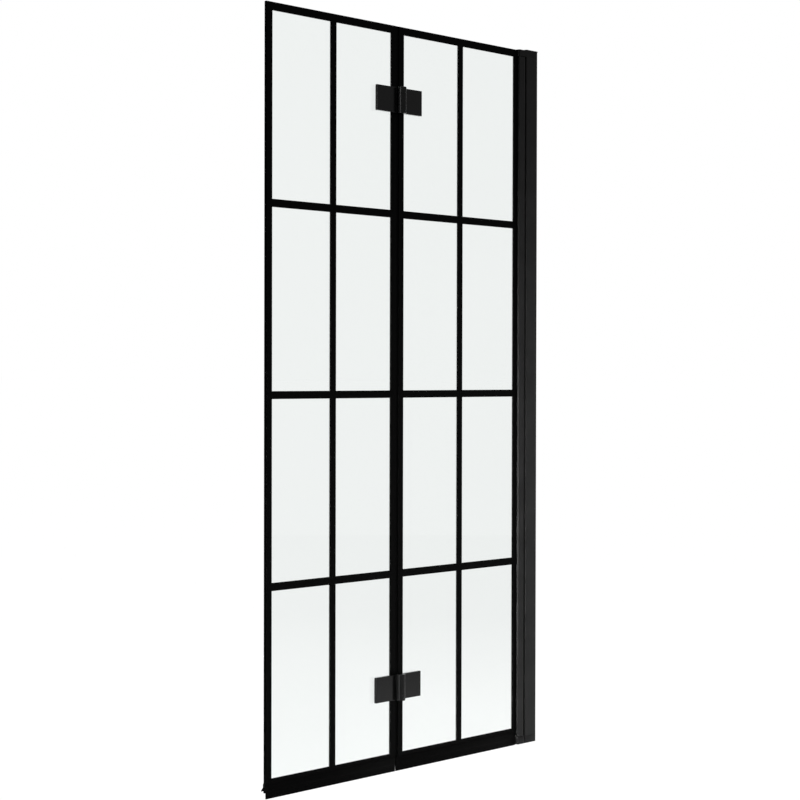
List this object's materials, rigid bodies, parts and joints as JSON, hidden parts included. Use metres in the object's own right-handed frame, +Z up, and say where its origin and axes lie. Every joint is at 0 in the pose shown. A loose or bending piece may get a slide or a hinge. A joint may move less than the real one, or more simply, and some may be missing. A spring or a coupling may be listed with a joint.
{
  "type": "bath screen",
  "caption": "Folding glass bath screen with black glazing bars: an outer panel folds on clamp hinges and an inner panel swings on a wall post, with wipe seals along the bath rim.",
  "frame": {"origin": "on the wall, in the mid-plane of the glass, at the level of the bath rim", "axes": "+X into the wall that carries the screen, +Y towards the bath, +Z up"},
  "size_m": [0.8, 0.0312, 1.4],
  "materials": {
    "clear_glass": "clear toughened glass with a faint green cast",
    "black_bar": "matt black bonded strip",
    "black_profile": "black powder-coated extrusion, fine satin texture",
    "black_hinge": "black powder-coated zinc casting, satin",
    "black_cap": "moulded black plastic",
    "black_seal": "soft black extruded seal",
    "steel": "stainless steel",
    "black_nylon": "black nylon",
    "nylon": "natural nylon"
  },
  "bodies": {
    "wall_side": {"bottom_end_cap": "black_cap", "bottom_pivot_pin": "steel", "end_cap_screws": "steel", "hinge_post": "black_profile", "post_clamp_screws": "steel", "top_end_cap": "black_cap", "top_pivot_pin": "steel", "wall_channel": "black_profile"},
    "inner_panel": {"bottom_hinge_inner_clamp_plate": "black_hinge", "bottom_hinge_inner_leaf": "black_hinge", "bottom_hinge_inner_pads": "black_seal", "bottom_hinge_inner_screws": "steel", "bottom_hinge_inner_sleeves": "nylon", "bottom_hinge_pin": "black_hinge", "bottom_hinge_pin_cap": "black_hinge", "bottom_hinge_washers": "black_nylon", "bottom_pivot_bush": "black_nylon", "centre_bubble_seal": "black_seal", "front_glazing_gasket": "black_seal", "inner_bottom_seal": "black_seal", "inner_front_crossbars": "black_bar", "inner_front_mullions": "black_bar", "inner_front_stiles": "black_bar", "inner_glass": "clear_glass", "inner_rear_crossbars": "black_bar", "inner_rear_mullions": "black_bar", "inner_rear_stiles": "black_bar", "rear_glazing_gasket": "black_seal", "swivel_post": "black_profile", "top_hinge_inner_clamp_plate": "black_hinge", "top_hinge_inner_leaf": "black_hinge", "top_hinge_inner_pads": "black_seal", "top_hinge_inner_screws": "steel", "top_hinge_inner_sleeves": "nylon", "top_hinge_pin": "black_hinge", "top_hinge_pin_cap": "black_hinge", "top_hinge_washers": "black_nylon", "top_pivot_bush": "black_nylon"},
    "outer_panel": {"bottom_hinge_outer_clamp_plate": "black_hinge", "bottom_hinge_outer_leaf": "black_hinge", "bottom_hinge_outer_pads": "black_seal", "bottom_hinge_outer_screws": "steel", "bottom_hinge_outer_sleeves": "nylon", "outer_bottom_seal": "black_seal", "outer_front_crossbars": "black_bar", "outer_front_mullions": "black_bar", "outer_front_stiles": "black_bar", "outer_glass": "clear_glass", "outer_rear_crossbars": "black_bar", "outer_rear_mullions": "black_bar", "outer_rear_stiles": "black_bar", "top_hinge_outer_clamp_plate": "black_hinge", "top_hinge_outer_leaf": "black_hinge", "top_hinge_outer_pads": "black_seal", "top_hinge_outer_screws": "steel", "top_hinge_outer_sleeves": "nylon"}
  },
  "joints": [
    {"name": "wall_pivot", "type": "hinge", "parent": "wall_side", "child": "inner_panel", "pos_m": [-0.0465, 0, 0], "axis": [0, 0, 1], "range_deg": [-90, 90]},
    {"name": "fold_hinge", "type": "hinge", "parent": "inner_panel", "child": "outer_panel", "pos_m": [-0.4405, -0.012, 0], "axis": [0, 0, 1], "range_deg": [0, 180]}
  ]
}
